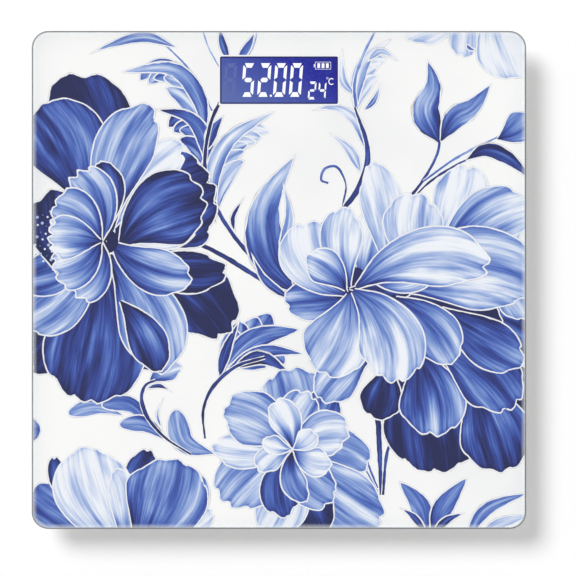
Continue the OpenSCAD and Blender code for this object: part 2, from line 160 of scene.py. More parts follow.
def paint(mat, *names):
    """Gives a material to CAD nodes, on their objects' slots."""
    for name in names:
        obj = NODES[name]
        if not obj.material_slots:
            obj.data.materials.append(None)
        for slot in obj.material_slots:
            slot.link = "OBJECT"
            slot.material = mat


# ---------------------------------------------------------------- materials


def moulded(name, colour, rough=0.45, grain=0.35 * MM):
    """Moulded plastic: a fine spark-eroded grain, slight flow marks and softened edges."""
    edge_radius, grain_depth = 0.4 * MM, 0.02 * MM
    s = Shader(name)
    at = s.place()
    flow = s.noise(at, 18.0, 3.0)
    fine = s.noise(at, 1.0 / grain, 2.0)
    shade = s.mix(s.step(flow, 0.3, 0.7), scaled(colour, 0.95), colour)
    soft = s.node("Bevel", {"Radius": edge_radius}, samples=4).outputs[0]
    return s.surface(s.principled(
        Base_Color=shade, Roughness=s.spread(flow, rough - 0.05, rough + 0.07),
        Specular_IOR_Level=0.45, Normal=s.bump(fine, grain_depth, 0.5, soft)))


def rubber(name, colour):
    """Matt rubber with a little dust."""
    s = Shader(name)
    at = s.place()
    dust = s.noise(at, 60.0, 4.0)
    grain = s.noise(at, 2500.0, 2.0)
    shade = s.mix(s.step(dust, 0.45, 0.75), colour, scaled(colour, 1.6, 0.02))
    return s.surface(s.principled(
        Base_Color=shade, Roughness=0.75, Specular_IOR_Level=0.3,
        Normal=s.bump(grain, 0.05 * MM, 0.5)))


def metal(name, colour, rough=0.25):
    """Sheet metal with rolling lines and faint stains."""
    s = Shader(name)
    at = s.place()
    lines = s.noise(at, 120.0, 3.0, stretch=(1, 40, 1))
    stain = s.noise(at, 90.0, 3.0)
    shade = s.mix(s.step(stain, 0.35, 0.8), colour, scaled(colour, 0.8))
    return s.surface(s.principled(
        Base_Color=shade, Metallic=1.0, Roughness=s.spread(lines, rough, rough + 0.2),
        Normal=s.bump(lines, 0.02 * MM, 0.3)))


def foam(name, colour):
    """Closed-cell foam with darker pores."""
    s = Shader(name)
    at = s.place()
    cells = s.node("TexVoronoi", {"Vector": at, "Scale": 1800.0}).outputs["Distance"]
    shade = s.mix(s.step(cells, 0.1, 0.7), scaled(colour, 0.7), colour)
    return s.surface(s.principled(
        Base_Color=shade, Roughness=0.9, Specular_IOR_Level=0.2,
        Normal=s.bump(cells, 0.1 * MM, 0.6)))


def wire_skin(name, colour):
    """A wire's insulation, slightly scuffed."""
    s = Shader(name)
    at = s.place()
    scuff = s.noise(at, 220.0, 4.0)
    shade = s.mix(s.step(scuff, 0.5, 0.8), colour, scaled(colour, 1.25, 0.01))
    return s.surface(s.principled(
        Base_Color=shade, Roughness=s.spread(scuff, 0.3, 0.5),
        Normal=s.bump(scuff, 0.03 * MM, 0.4)))


def board_skin():
    """Green solder mask with copper tracks showing faintly under it."""
    s = Shader("circuit_board")
    at = s.place()
    tracks = s.node("TexBrick", {
        "Vector": at, "Scale": 90.0, "Mortar Size": 0.06, "Color1": (0, 0, 0, 1),
        "Color2": (0, 0, 0, 1), "Mortar": (1, 1, 1, 1)}).outputs["Color"]
    weave = s.noise(at, 900.0, 2.0)
    green = s.mix(weave, srgb(18, 74, 40), srgb(24, 88, 48))
    shade = s.mix(tracks, green, srgb(46, 120, 62))
    return s.surface(s.principled(
        Base_Color=shade, Roughness=0.32, Coat_Weight=0.3, Normal=s.bump(tracks, 0.04 * MM, 0.4)))


def zebra_skin():
    """Silicone strip with the fine dark layers that carry the display's signals."""
    s = Shader("zebra_rubber")
    wave = s.node("TexWave", {"Vector": s.place(), "Scale": 650.0, "Distortion": 0.2})
    bands = wave.outputs["Fac"]
    shade = s.mix(s.step(bands, 0.4, 0.6), srgb(214, 150, 152), srgb(60, 40, 44))
    return s.surface(s.principled(Base_Color=shade, Roughness=0.6))


def battery_skin():
    """A dry cell's sleeve: a dark body with a pale band towards the nub, and no lettering."""
    s = Shader("battery_sleeve")
    at = s.place()
    along = s.node("SeparateXYZ", {"Vector": at}).outputs[0]
    scuff = s.noise(at, 150.0, 4.0)
    sleeve_half = 12 * MM
    band = s.step(s.math("ABSOLUTE", along), sleeve_half, sleeve_half + 0.5 * MM)
    shade = s.mix(band, srgb(38, 52, 84), srgb(188, 192, 198))
    shade = s.mix(s.step(scuff, 0.62, 0.7), shade, srgb(150, 152, 158))
    return s.surface(s.principled(Base_Color=shade, Metallic=0.7, Roughness=0.3, Coat_Weight=0.4))


# ---------------------------------------------------------------- glass and film


GLASS_LOW, GLASS_HIGH = (Vector(c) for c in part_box("glass_platform"))
FILM_HIGH = Vector(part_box("printed_film")[1])
HALF_W, HALF_D = GLASS_HIGH.x, GLASS_HIGH.y
CORNER_R = 9.5 * MM


def rim_distance(s, at):
    """How far a point is inside the platform's outline, in plan, in metres."""
    parts = s.node("SeparateXYZ", {"Vector": at})
    over = []
    for axis, half in ((0, HALF_W), (1, HALF_D)):
        reach = s.math("ABSOLUTE", parts.outputs[axis])
        over.append(s.math("SUBTRACT", reach, half - CORNER_R))
    outer = [s.math("MAXIMUM", o, 0.0) for o in over]
    corner = s.math("SQRT", s.math("ADD", *(s.math("MULTIPLY", o, o) for o in outer)))
    inner = s.math("MINIMUM", s.math("MAXIMUM", *over), 0.0)
    return s.math("SUBTRACT", CORNER_R, s.math("ADD", corner, inner))


def glass_skin():
    """Clear tempered glass. Its edge is drawn with painted light: a dark outermost line of painted
    shade, then a pale haze of painted highlight. The painted edge casts no shadow of its own on the
    print below it."""
    shade_line_start, shade_line_end, highlight_end = 0.35 * MM, 0.8 * MM, 3.2 * MM
    highlight_cover, shade_line_cover = 0.22, 0.8
    side_tint = srgb(138, 160, 160)
    s = Shader("tempered_glass")
    at = s.place()
    rim = rim_distance(s, at)
    smear = s.noise(at, 14.0, 5.0, 0.6)
    gloss = s.spread(smear, 0.02, 0.07)
    clear = s.node("BsdfTransparent", {"Color": (0.994, 0.997, 0.996, 1)}).outputs[0]
    shine = s.node("BsdfGlossy", {"Color": (1, 1, 1, 1), "Roughness": gloss}).outputs[0]
    outside = s.flipped(s.node("NewGeometry").outputs["Backfacing"])
    facing = s.math("MULTIPLY", s.node("Fresnel", {"IOR": 1.4}).outputs[0], outside)
    pane = s.node("MixShader", {0: facing, 1: clear, 2: shine}).outputs[0]
    # painted shade and painted highlight: a dark line of painted shade along the outermost edge,
    # fading to the near-white of the painted highlight inside it
    line = s.step(rim, shade_line_start, shade_line_end)
    band = s.ramp(line, [(0.0, srgb(84, 90, 96)), (1.0, srgb(244, 247, 250))])
    upright = s.node("SeparateXYZ", {"Vector": s.node("NewGeometry").outputs["Normal"]}).outputs[2]
    band = s.mix(s.step(s.math("ABSOLUTE", upright), 0.1, 0.4), side_tint, band)
    # a diffuse layer that carries the edge's painted shade and painted highlight over the clear
    # pane
    painted_edge_light = s.principled(Base_Color=band, Roughness=0.35, Specular_IOR_Level=0.5)
    # painted highlight: a pale haze just inside the dark line, fading out further in
    painted_highlight = s.math("MULTIPLY", s.flipped(s.step(rim, shade_line_end, highlight_end)), highlight_cover)
    cover = s.math("MAXIMUM", painted_highlight, s.math("MULTIPLY", s.flipped(line), shade_line_cover))
    seen = s.flipped(s.node("LightPath").outputs["Is Shadow Ray"])
    cover = s.math("MULTIPLY", cover, seen)
    return s.surface(s.node("MixShader", {0: cover, 1: pane, 2: painted_edge_light}).outputs[0])


def film_skin():
    """The print's white ground: faintly cloudy, as white ink on film is."""
    s = Shader("print_ground")
    cloud = s.noise(s.place(), 11.0, 3.0)
    shade = s.ramp(cloud, [
        (0.35, srgb(254, 253, 252)), (0.55, srgb(250, 249, 249)), (0.75, srgb(243, 242, 244))])
    return s.surface(s.principled(Base_Color=shade, Roughness=0.6, Specular_IOR_Level=0.2))


# ---------------------------------------------------------------- the floral print
#
# Every petal, leaf and stem is a flat patch of ink, drawn in millimetres in the platform's plan.
# Patches lie one over another a few micrometres apart, between the film and the glass.


def spline(points, count):
    """A smooth curve through given points, sampled evenly in its own parameter."""
    p = np.array(points, float)
    p = np.vstack([2 * p[0] - p[1], p, 2 * p[-1] - p[-2]])
    t = np.linspace(0, len(points) - 1 - 1e-9, count)
    i = t.astype(int)
    f = (t - i)[:, None]
    a, b, c, d = p[i], p[i + 1], p[i + 2], p[i + 3]
    square = (2 * a - 5 * b + 4 * c - d) * f**2
    cube = (3 * b - a - 3 * c + d) * f**3
    return 0.5 * (2 * b + (c - a) * f + square + cube)


def blend3(low, middle, high, u):
    """Runs smoothly from low at 0 through middle at 0.5 to high at 1."""
    first = low + (middle - low) * np.clip(2 * u, 0, 1)
    return first + (high - middle) * np.clip(2 * u - 1, 0, 1)


def directions(curve):
    """The unit direction of a curve at each of its points."""
    ahead = np.gradient(curve, axis=0)
    return ahead / np.maximum(np.linalg.norm(ahead, axis=1, keepdims=True), 1e-6)


def lay_along(curve, share, offset):
    """A grid laid along a curve, and how far along it each point is. share is a part of the
    curve's length and offset the distance to its left. Past its end the grid runs straight on."""
    lengths = np.concatenate([[0], np.cumsum(np.linalg.norm(np.diff(curve, axis=0), axis=1))])
    along = np.clip(share, 0, 1) * lengths[-1]
    beyond = np.maximum(share - 1, 0) * lengths[-1]
    x, y, dx, dy = (np.interp(along, lengths, part) for part in (*curve.T, *directions(curve).T))
    return np.stack([x + dx * beyond - dy * offset, y + dy * beyond + dx * offset], -1), along


def rim_reach(v, phase, lobes, ruffle, drop, tip, pointed):
    """How far a blade's rim reaches, as a part of the spine's length, from side to side."""
    fall = np.abs(v) ** tip
    reach = 1 - drop * (fall if pointed else 1 - np.sqrt(1 - 0.995 * fall))
    if lobes:
        scallop = np.abs(np.sin(math.pi * (lobes * (v + 1) / 2 + phase[0])))
        frill = np.sin(v * 13 + 6 * phase[1]) * 0.12 + np.sin(v * 23 + 6 * phase[2]) * 0.08
        reach = reach + ruffle * (scallop**0.55 - 0.75 + frill)
    return reach


class Patch:
    """One patch of ink: a grid of points with the values that its shader reads."""

    def __init__(self, grid, along, across, edge, tone):
        self.grid, self.along, self.across = grid, along, across
        self.edge, self.tone = edge, tone
        self.level = 0


def contour_distance(grid, contour):
    """How far each point of a grid is from a line of points."""
    a, b = contour[:-1], contour[1:]
    run = b - a
    size = np.maximum((run**2).sum(axis=1), 1e-9)
    p = grid.reshape(-1, 1, 2)
    t = np.clip(((p - a) * run).sum(axis=2) / size, 0, 1)[..., None]
    gap = np.linalg.norm(p - (a + t * run), axis=2).min(axis=1)
    return gap.reshape(grid.shape[:2])


class Artist:
    """Draws patches in painting order and gives each a level just above all that it covers."""

    CELL = 6.0  # side of the squares in which covering is counted

    def __init__(self):
        self.random = np.random.default_rng(SEED)
        self.motifs = {}
        self.heights = {}

    def add(self, motif, patch):
        # halfway points count too, because a long petal's grid is coarser than the squares
        grid = patch.grid
        rows = np.concatenate([grid, (grid[1:] + grid[:-1]) / 2])
        full = np.concatenate([rows, (rows[:, 1:] + rows[:, :-1]) / 2], axis=1)
        cells = {tuple(c) for c in np.floor(full.reshape(-1, 2) / self.CELL).astype(int)}
        patch.level = 1 + max((self.heights.get(c, 0) for c in cells), default=0)
        for c in cells:
            self.heights[c] = patch.level
        self.motifs.setdefault(motif, []).append(patch)

    def blade(self, motif, spine, width, tones, lobes=0, ruffle=0.0, drop=0.45, peak=0.7,
              neck=0.1, tip=2.2, side=0.0, fold=0.0, rib=0.0, columns=45, pointed=False):
        """A petal or leaf along a spine. Its veins leave the root together and spread to the rim.
        It is widest at peak and neck times as wide at the root. The rim falls back by drop at the
        sides, and tip says how squarely. Tones run from root through middle to rim; side, fold and
        rib add light to one side, along soft folds and along the middle."""
        rows = 15
        u = 1 - (1 - np.linspace(0, 1, rows)) ** 1.3
        v = np.sin(np.linspace(-1, 1, columns) * math.pi / 2)
        phase = self.random.uniform(0, 1, 3)
        s = u[:, None] * rim_reach(v, phase, lobes, ruffle, drop, tip, pointed)
        rise = np.sin(math.pi / 2 * np.clip(s / peak, 0, 1)) ** 1.1
        past = np.clip((s - peak) / (1 - peak), 0, 1.3)
        half = width / 2 * (neck + (1 - neck) * rise) * (1 - 0.12 * past**2)
        grid, along = lay_along(spline(spine, 90), s, v * half)
        across = v * width * 0.5 + 100 * phase[0] + 0 * s
        edge = contour_distance(grid, np.concatenate([grid[:, 0], grid[-1], grid[::-1, -1]]))
        folds = np.cos(math.pi * (2.2 * v + 2 * phase[1]))
        tone = blend3(*tones, np.clip(s / 0.95, 0, 1)) + side * v
        tone = tone + fold * folds * np.clip(2 * s, 0, 1)
        tone = tone + rib * np.exp(-((v / 0.09) ** 2)) * (1 - s)
        self.add(motif, Patch(grid, along, across, edge, tone))

    def petal(self, motif, root, heading, length, width, tones, curl=0.0, lobes=3, ruffle=0.06,
              **shape):
        """A petal from a root, along a heading that turns by curl over its length, in degrees."""
        spot, points = np.array(root, float), [root]
        for k in range(4):
            turn = math.radians(heading + curl * (k - 1.5) / 3)
            spot = spot + length / 4 * np.array([math.cos(turn), math.sin(turn)])
            points.append(tuple(spot))
        self.blade(motif, points, width, tones, lobes, ruffle, fold=0.1, **shape)

    def leaf(self, motif, spine, width, tones, side=0.1, **shape):
        """A pointed leaf with a pale rib."""
        shape = {"drop": 0.9, "tip": 1.25, "peak": 0.55, "rib": 0.3, "columns": 21,
                 "pointed": True, **shape}
        self.blade(motif, spine, width, tones, side=side, **shape)

    def spray(self, motif, spine, width, tones, lobes=4, hand=0, flare=50, lean=8):
        """A scrolling leaf: lobes that leave the spine one over another and flare outwards, under
        a blade. hand is 1 for lobes on the left only, -1 for the right only and 0 for both."""
        curve = spline(spine, 60)
        last = len(curve) - 1
        ahead = np.gradient(curve, axis=0)
        total = np.linalg.norm(np.diff(curve, axis=0), axis=1).sum()
        facing = np.degrees(np.unwrap(np.arctan2(ahead[:, 1], ahead[:, 0])))
        for k in reversed(range(lobes)):
            at = 0.05 + 0.6 * k / lobes
            i, j = int(at * last), int(min(at + 0.35, 1) * last)
            for sign in ((-1, 1) if hand == 0 else (hand,)):
                shade = tuple(t + self.random.uniform(-0.07, 0.07) for t in tones)
                heading = (facing[i] + facing[j]) / 2 + sign * (lean + flare / 2)
                curl = facing[j] - facing[i] + sign * flare
                self.petal(motif, tuple(curve[i]), heading, total * (0.5 - 0.17 * at),
                           width * 0.62, shade, curl, 1, 0.03, drop=0.6, tip=1.8, peak=0.7,
                           neck=0.3, columns=25)
        self.leaf(motif, spine, width * 0.66, tones, drop=0.7, tip=1.7)

    def stem(self, motif, points, widths, tone=0.25):
        """A stem whose width runs from the first through the middle to the last of widths."""
        rows, columns = 44, 5
        outline = 0.35  # room for the pale line, which is thinner on a stem than on a petal
        s = np.linspace(0, 1, rows)[:, None]
        v = np.linspace(-1, 1, columns)
        curve = spline(points, rows)
        ahead = directions(curve)
        left = np.stack([-ahead[:, 1], ahead[:, 0]], -1)
        half = blend3(*widths, s) / 2 + outline
        grid = curve[:, None] + left[:, None] * (v * half)[..., None]
        edge = (1 - np.abs(v)) * half + outline
        shade = tone + 0.25 * np.cos(v * 1.6 - 0.6) - 0.12 + 0 * s
        self.add(motif, Patch(grid, s * 100 + 0 * v, v * half, edge, shade))

    def dot(self, motif, centre, radius, tone):
        """A round spot of one tone."""
        turn = np.linspace(0, 2 * math.pi, 13)
        spokes = np.stack([np.cos(turn), np.sin(turn)], -1)
        reach = np.array([0.05, 1.0])[:, None, None]
        grid = np.array(centre, float) + radius * reach * spokes[None]
        flat = np.ones((2, len(turn)))
        self.add(motif, Patch(grid, 0 * flat, 0 * flat, 3 * flat, tone * flat))


# Tones at a petal's root, middle and rim: 0 is the darkest ink and 1 nearly white
NAVY = (-0.04, 0.16, 0.04)
DEEP = (-0.04, 0.34, 0.14)
MID = (0.00, 0.50, 0.40)
SKY = (0.10, 0.62, 0.70)
PALE = (0.18, 0.80, 0.94)
FROST = (0.55, 0.88, 0.97)

# A flower's rows hold what Artist.petal takes: root, heading, length, width, tones, curl and lobes,
# then the side where it is given. Rows that share their root or lobes leave those out.


def draw_leaves(art):
    """Stems and leaves, behind the flowers."""
    m = "print_leaves"
    # two stems from the middle to the top edge, with scrolling leaves to both sides
    art.stem(m, [(-38, 96), (-48, 116), (-68, 136), (-84, 144)], (1.0, 1.2, 0.8), 0.5)
    art.stem(m, [(-30, 100), (-32, 116), (-40, 132), (-44, 144)], (0.8, 1.0, 1.2), 0.55)
    art.stem(m, [(-22, 100), (-20, 120), (-14, 134), (-12, 144)], (0.6, 0.8, 0.8), 0.55)
    art.leaf(m, [(-58, 132), (-76, 138), (-94, 134), (-108, 128)], 11, (0.5, 0.6, 0.7))
    art.leaf(m, [(-28, 124), (-32, 134), (-34, 146)], 9, (0.25, 0.35, 0.45))
    art.leaf(m, [(-24, 124), (-18, 132), (-13, 142)], 9, (0.35, 0.5, 0.6))
    art.spray(m, [(-42, 78), (-45, 102), (-60, 120), (-90, 118)], 19, (0.38, 0.58, 0.70), 5, 1, 30)
    art.spray(m, [(-41, 58), (-41, 76), (-50, 92), (-70, 97)], 18, (0.16, 0.40, 0.36), 4, 1, 44)
    art.spray(m, [(-36, 32), (-38, 58), (-28, 80), (-2, 96)], 19, (0.40, 0.68, 0.84), 6, -1, 30)
    art.leaf(m, [(-40, 74), (-38, 84), (-31, 94)], 12, (0.35, 0.42, 0.32))
    art.leaf(m, [(-38, 44), (-44, 56), (-43, 70)], 9, (0.2, 0.34, 0.45))
    art.leaf(m, [(-25, 26), (-26, 36), (-19, 48)], 6, (0.12, 0.3, 0.4))
    art.stem(m, [(-31, 106), (-39, 88), (-42, 64), (-36, 42), (-20, 18), (6, -8)],
             (2.0, 2.2, 2.8), 0.12)
    art.stem(m, [(-64, 26), (-40, 18), (-16, 4), (8, -12)], (1.6, 3.0, 2.2), 0.1)
    # the tall folded leaf in the middle
    art.leaf(m, [(12, -8), (-6, 14), (-8, 42), (10, 72)], 34, (0.02, 0.5, 0.82),
             side=0.14, peak=0.5)
    art.leaf(m, [(12, -2), (4, 16), (6, 38), (2, 56)], 13, (0.2, 0.72, 0.92), side=-0.1)
    art.leaf(m, [(10, -8), (10, 6), (16, 20)], 9, (0.0, 0.18, 0.3))
    art.leaf(m, [(8, -12), (-8, 0), (-16, 16)], 9, (0.1, 0.4, 0.55))
    # the scroll right of the display
    art.spray(m, [(44, 94), (44, 110), (50, 126), (64, 137)], 16, (0.68, 0.82, 0.93), 5, -1, 34)
    art.leaf(m, [(44, 104), (36, 114), (36, 132)], 9, (0.66, 0.82, 0.93))
    art.leaf(m, [(49, 74), (44, 90), (32, 98), (18, 96)], 11, (0.3, 0.74, 0.88))
    art.leaf(m, [(47, 60), (40, 74), (28, 84)], 10, (0.66, 0.82, 0.92))
    art.leaf(m, [(48, 96), (54, 102), (58, 112)], 7, (0.4, 0.5, 0.7))
    art.leaf(m, [(50, 124), (58, 130), (68, 124)], 8, (0.6, 0.75, 0.9))
    art.stem(m, [(44, 96), (43, 112), (48, 128), (56, 144)], (2.0, 1.6, 1.4), 0.55)
    art.stem(m, [(18, 28), (36, 40), (48, 58), (50, 76), (43, 98)], (0.8, 4.2, 1.4), 0.16)
    art.stem(m, [(36, 42), (38, 54), (33, 64), (26, 63), (24, 57), (28, 55)], (0.8, 1.8, 1.6), 0.35)
    # stems, leaf pair, bud and dark leaf at the right
    art.stem(m, [(66, 38), (80, 54), (90, 72), (91, 86)], (2.2, 1.8, 1.6), 0.2)
    art.stem(m, [(82, 56), (102, 70), (130, 84)], (1.2, 1.6, 1.0), 0.5)
    art.stem(m, [(70, 38), (86, 56), (112, 70), (130, 66)], (1.4, 1.4, 1.0), 0.15)
    art.leaf(m, [(91, 78), (83, 96), (88, 110), (84, 126)], 24, (0.10, 0.52, 0.52),
             side=0.1, peak=0.45)
    art.leaf(m, [(92, 79), (100, 92), (110, 98), (121, 112)], 21, (0.14, 0.48, 0.48), side=-0.1)
    art.leaf(m, [(106, 68), (118, 74), (132, 68), (146, 54)], 15, (0.06, 0.16, 0.22))
    art.petal(m, (124, 80), 34, 24, 20, (0.1, 0.5, 0.72), 20, 1, 0.03)
    # branch between the three flowers
    art.spray(m, [(-32, -54), (-24, -42), (-10, -32), (12, -28)], 26, (0.24, 0.48, 0.50), 4, 1, 44)
    art.spray(m, [(-30, -51), (-18, -44), (-4, -40), (14, -42)], 16, (0.22, 0.44, 0.5), 3, -1, 36)
    art.leaf(m, [(-34, -56), (-30, -40), (-22, -22)], 11, (0.16, 0.26, 0.36))
    art.leaf(m, [(-26, -50), (-10, -44), (8, -54)], 14, (0.04, 0.14, 0.3))
    art.stem(m, [(-42, -90), (-43, -74), (-37, -60), (-24, -49), (-8, -44)], (1.2, 2.4, 1.6), 0.12)
    # twig at the lower left
    blunt = {"drop": 0.5, "tip": 2.4, "pointed": False, "peak": 0.75}
    art.leaf(m, [(-88, -77), (-104, -72), (-120, -76)], 11, (0.55, 0.62, 0.76), **blunt)
    art.leaf(m, [(-70, -86), (-84, -71), (-101, -71)], 11, (0.25, 0.45, 0.6), **blunt)
    art.leaf(m, [(-62, -92), (-76, -82), (-91, -82)], 11, (0.25, 0.4, 0.55), **blunt)
    art.leaf(m, [(-36, -99), (-54, -92), (-59, -73)], 15, (0.5, 0.62, 0.76), **blunt)
    art.leaf(m, [(-66, -86), (-69, -76), (-65, -66)], 4, (0.5, 0.66, 0.8))
    art.petal(m, (-74, -59), 28, 22, 14, (0.1, 0.6, 0.88), -30, 2, 0.08)
    art.leaf(m, [(-76, -62), (-68, -60), (-60, -64)], 6, (0.1, 0.2, 0.3))
    art.stem(m, [(-50, -99), (-64, -90), (-74, -79), (-78, -68), (-76, -60), (-70, -57)],
             (1.0, 2.4, 1.4), 0.12)
    # stems under the right flower, sprig and corner leaves
    art.stem(m, [(56, -74), (57, -94), (58, -122)], (3.6, 3.0, 2.0), 0.16)
    art.stem(m, [(72, -82), (62, -96), (59, -122)], (1.6, 2.0, 1.6), 0.16)
    art.stem(m, [(30, -88), (45, -94), (56, -118)], (1.2, 1.6, 1.2), 0.34)
    art.stem(m, [(32, -100), (46, -104), (56, -120)], (1.0, 1.4, 1.0), 0.42)
    full = {"drop": 0.75, "tip": 1.6}
    art.leaf(m, [(84, -144), (80, -128), (68, -114)], 16, (0.16, 0.5, 0.62), **full)
    art.leaf(m, [(86, -144), (94, -128), (107, -112)], 16, (0.14, 0.5, 0.52), side=-0.1, **full)
    art.leaf(m, [(84, -144), (76, -134), (68, -129)], 8, (0.08, 0.2, 0.26))
    art.leaf(m, [(87, -144), (96, -136), (106, -132)], 9, (0.06, 0.18, 0.26))
    art.leaf(m, [(106, -148), (118, -130), (144, -120)], 13, (0.4, 0.56, 0.7))
    art.leaf(m, [(112, -148), (126, -138), (146, -133)], 12, (0.55, 0.7, 0.82))
    art.petal(m, (-152, -85), 0, 17, 16, (0.2, 0.4, 0.5), 0, 1, 0.03)


def draw_left_flower(art):
    """The dark flower at the left. Its heart is cut by the platform's edge."""
    m = "print_flower_left"
    for petal in [
        ((-110, 40), 98, 78, 58, NAVY, 30, 2),
        ((-92, 20), 34, 66, 64, DEEP, -20, 5),
        ((-92, 12), -34, 78, 44, NAVY, -36, 4),
        ((-98, 8), -58, 66, 44, NAVY, 24, 3),
        ((-112, -2), -122, 58, 34, NAVY, -20, 3),
        ((-90, 24), 12, 46, 20, FROST, 24, 2),
        ((-90, 14), -8, 62, 26, NAVY, 26, 3),
        ((-94, 30), 50, 62, 30, FROST, -30, 2),
    ]:
        art.petal(m, *petal, 0.07)
    for *petal, side in [
        ((-112, 42), 112, 62, 50, (0.0, 0.30, 0.40), 30, 1, -0.10),
        ((-95, 28), 72, 76, 36, SKY, -38, 2, 0.12),
        ((-96, 30), 98, 38, 20, NAVY, 24, 1, 0.0),
        ((-90, 20), 28, 56, 46, DEEP, -34, 4, -0.06),
        ((-100, 8), -98, 78, 62, DEEP, -10, 5, 0.10),
        ((-96, 14), -66, 74, 40, SKY, -30, 2, 0.08),
        ((-90, -12), -62, 46, 24, DEEP, -24, 1, 0.05),
        ((-96, 22), -24, 52, 28, (0.15, 0.48, 0.72), 34, 2, 0.05),
        ((-104, 12), -136, 56, 30, SKY, -30, 2, 0.05),
        ((-104, 16), -160, 48, 26, MID, -20, 1, 0.05),
    ]:
        art.petal(m, *petal, 0.06, side=side)
    art.dot(m, (-98, 22), 7, 0.0)
    art.petal(m, (-122, 0), 94, 52, 46, (0.0, 0.03, 0.06), 10, 3, 0.06)
    stamens, golden_angle = 40, 2.399963
    for i in range(stamens):
        turn = i * golden_angle
        reach = 12 * math.sqrt((i + 0.5) / stamens)
        art.dot(m, (-131 + 0.8 * reach * math.cos(turn), 24 + 1.4 * reach * math.sin(turn)),
                0.35 + 0.25 * ((i * 7) % 3), 0.55 + 0.2 * ((i * 5) % 3))
    inner_root = (-101, 22)
    for petal in [
        (112, 42, 30, (0.1, 0.5, 0.78), 40),
        (-122, 34, 28, (0.1, 0.5, 0.86), -44),
        (146, 34, 32, (0.08, 0.56, 0.80), 30),
        (-150, 32, 30, (0.06, 0.52, 0.90), -34),
        (176, 30, 26, (0.12, 0.60, 0.94), 10),
    ]:
        art.petal(m, inner_root, *petal, 4, 0.10, drop=0.3)


def draw_right_flower(art):
    """The large pale flower at the right, dark beneath."""
    m = "print_flower_right"
    for petal in [
        ((76, -30), -44, 96, 62, NAVY, 0, 4),
        ((82, -34), -82, 76, 62, NAVY, 0, 4),
        ((62, -48), -104, 32, 26, NAVY, -10, 2),
        ((110, -56), -70, 56, 44, DEEP, -10, 4),
        ((96, -20), -22, 54, 40, DEEP, -24, 3),
        ((46, -4), 70, 50, 34, PALE, 10, 2),
        ((42, -12), 180, 39, 26, (0.04, 0.38, 0.62), 10, 2),
        ((52, -8), -12, 76, 36, NAVY, -16, 2),
        ((61, 6), 98, 61, 26, FROST, 16, 1),
        ((88, 20), 66, 50, 34, FROST, 24, 2),
        ((80, 4), 92, 46, 36, PALE, -24, 3),
        ((92, 8), 34, 62, 40, (0.12, 0.58, 0.90), -30, 3),
        ((118, 10), -46, 44, 34, SKY, -24, 3),
    ]:
        art.petal(m, *petal, 0.06)
    art.dot(m, (41, -3), 11, 0.05)
    for *petal, side in [
        ((38, -8), 118, 48, 42, PALE, -40, 3, 0.08),
        ((40, -4), 92, 46, 26, PALE, -30, 2, -0.05),
        ((78, -40), -78, 50, 40, (0.02, 0.34, 0.62), -20, 3, 0.08),
        ((88, -38), -38, 58, 38, (0.25, 0.26, 0.46), -34, 4, -0.12),
        ((92, -16), -34, 56, 30, (0.02, 0.28, 0.56), 10, 2, 0.0),
        ((52, -44), -140, 38, 26, SKY, 24, 3, 0.05),
        ((58, -6), 2, 92, 50, (0.10, 0.70, 0.66), -44, 4, -0.06),
        ((40, -5), -2, 36, 15, NAVY, -8, 1, 0.0),
        ((40, -8), -112, 48, 40, (0.35, 0.80, 0.78), -24, 3, 0.05),
        ((66, -10), -48, 50, 30, (0.10, 0.52, 0.74), -24, 1, 0.06),
        ((52, 0), 24, 40, 26, (0.15, 0.74, 0.86), 44, 2, 0.05),
        ((44, -4), 8, 80, 36, (0.20, 0.84, 0.94), -52, 3, 0.06),
        ((42, -6), -66, 60, 40, (0.30, 0.76, 0.88), -50, 4, 0.0),
        ((38, -6), 140, 30, 22, (0.10, 0.55, 0.86), 30, 2, 0.0),
    ]:
        art.petal(m, *petal, 0.055, side=side)


def draw_small_flowers(art):
    """The flowers at the bottom, at the lower left and in the top right corner."""
    m = "print_flower_bottom"
    centre = (8, -96)
    for petal in [
        (96, 46, 44, SKY, 20, 4), (60, 40, 26, MID, 30, 2), (-14, 45, 28, SKY, -40, 3),
        (-40, 66, 38, SKY, 20, 4), (-72, 52, 30, NAVY, 10, 2), (-108, 50, 34, PALE, -20, 3),
        (-142, 50, 38, SKY, 24, 4), (178, 46, 22, PALE, -16, 2), (150, 46, 34, SKY, 30, 3),
    ]:
        art.petal(m, centre, *petal, 0.07)
    for petal in [
        (-96, 40, 26, (0.0, 0.2, 0.34), 40, 2), (72, 34, 26, SKY, -34, 3),
        (-50, 38, 28, SKY, 44, 3), (16, 34, 28, PALE, -40, 3),
        (-76, 32, 16, MID, 50, 1), (112, 30, 20, PALE, 30, 2),
        (-20, 24, 18, PALE, 40, 2), (-150, 24, 16, PALE, 30, 2), (160, 18, 12, FROST, -30, 1),
        (40, 16, 14, FROST, 20, 2),
    ]:
        art.petal(m, centre, *petal, 0.08)

    m = "print_flower_lower_left"
    for petal in [
        ((-92, -152), 148, 60, 36, MID, -10, 3), ((-118, -130), 108, 32, 12, DEEP, -20, 2),
        ((-92, -124), 56, 34, 18, DEEP, 20, 3), ((-62, -152), 70, 46, 22, SKY, 20, 2),
        ((-66, -150), 34, 34, 16, FROST, 10, 2), ((-88, -152), 112, 62, 46, FROST, -24, 2),
        ((-88, -156), 96, 50, 20, PALE, 30, 1), ((-82, -154), 66, 58, 50, (0.0, 0.5, 0.56), 24, 4),
    ]:
        art.petal(m, *petal, 0.05)

    m = "print_flower_corner"
    for petal in [
        ((112, 152), -164, 44, 28, FROST, 20, 3), ((107, 160), -94, 34, 20, FROST, 0, 2),
        ((118, 160), -64, 50, 46, FROST, -10, 3),
    ]:
        art.petal(m, *petal, 0.06)
    art.leaf(m, [(106, 134), (109, 131), (113, 131)], 5, (0.2, 0.25, 0.3))


